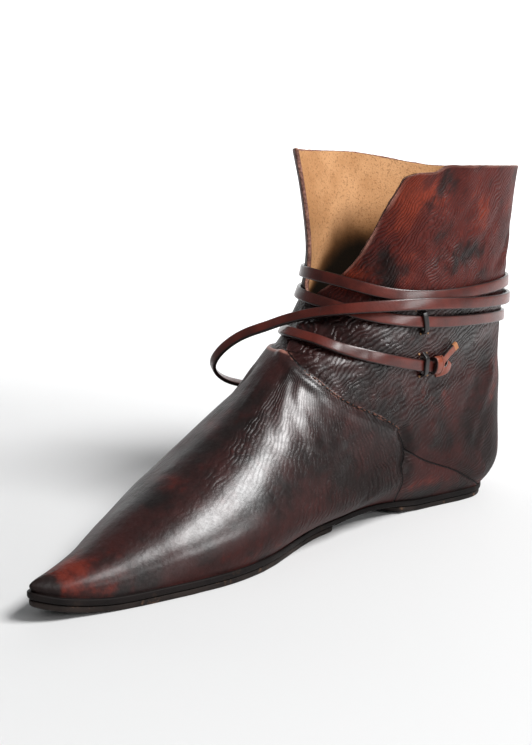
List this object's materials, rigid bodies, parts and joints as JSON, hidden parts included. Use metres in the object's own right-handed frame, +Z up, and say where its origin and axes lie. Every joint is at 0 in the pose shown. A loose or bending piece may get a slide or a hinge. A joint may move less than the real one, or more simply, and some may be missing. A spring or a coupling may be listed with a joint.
{
  "type": "medieval ankle shoe",
  "caption": "Soft pointed leather ankle shoe for the right foot, with a thin layered sole, a slit open front and a flat thong wrapped round the ankle.",
  "frame": {"origin": "on the floor under the middle of the heel", "axes": "-X towards the toe, -Y towards the inner side of the foot, +Z up"},
  "size_m": [0.3019, 0.0982, 0.1769],
  "materials": {
    "upper_leather": "dark burgundy brown burnished grain leather with a tan suede inside",
    "sole_leather": "near black waxed sole leather",
    "thong_leather": "glossy red brown strap leather"
  },
  "bodies": {
    "root": {"upper": "upper_leather", "outsole": "sole_leather", "forepart_layer": "sole_leather", "heel_layer": "sole_leather", "thong_wraps": "thong_leather", "thong_knot": "thong_leather", "thong_end": "thong_leather"}
  },
  "joints": []
}
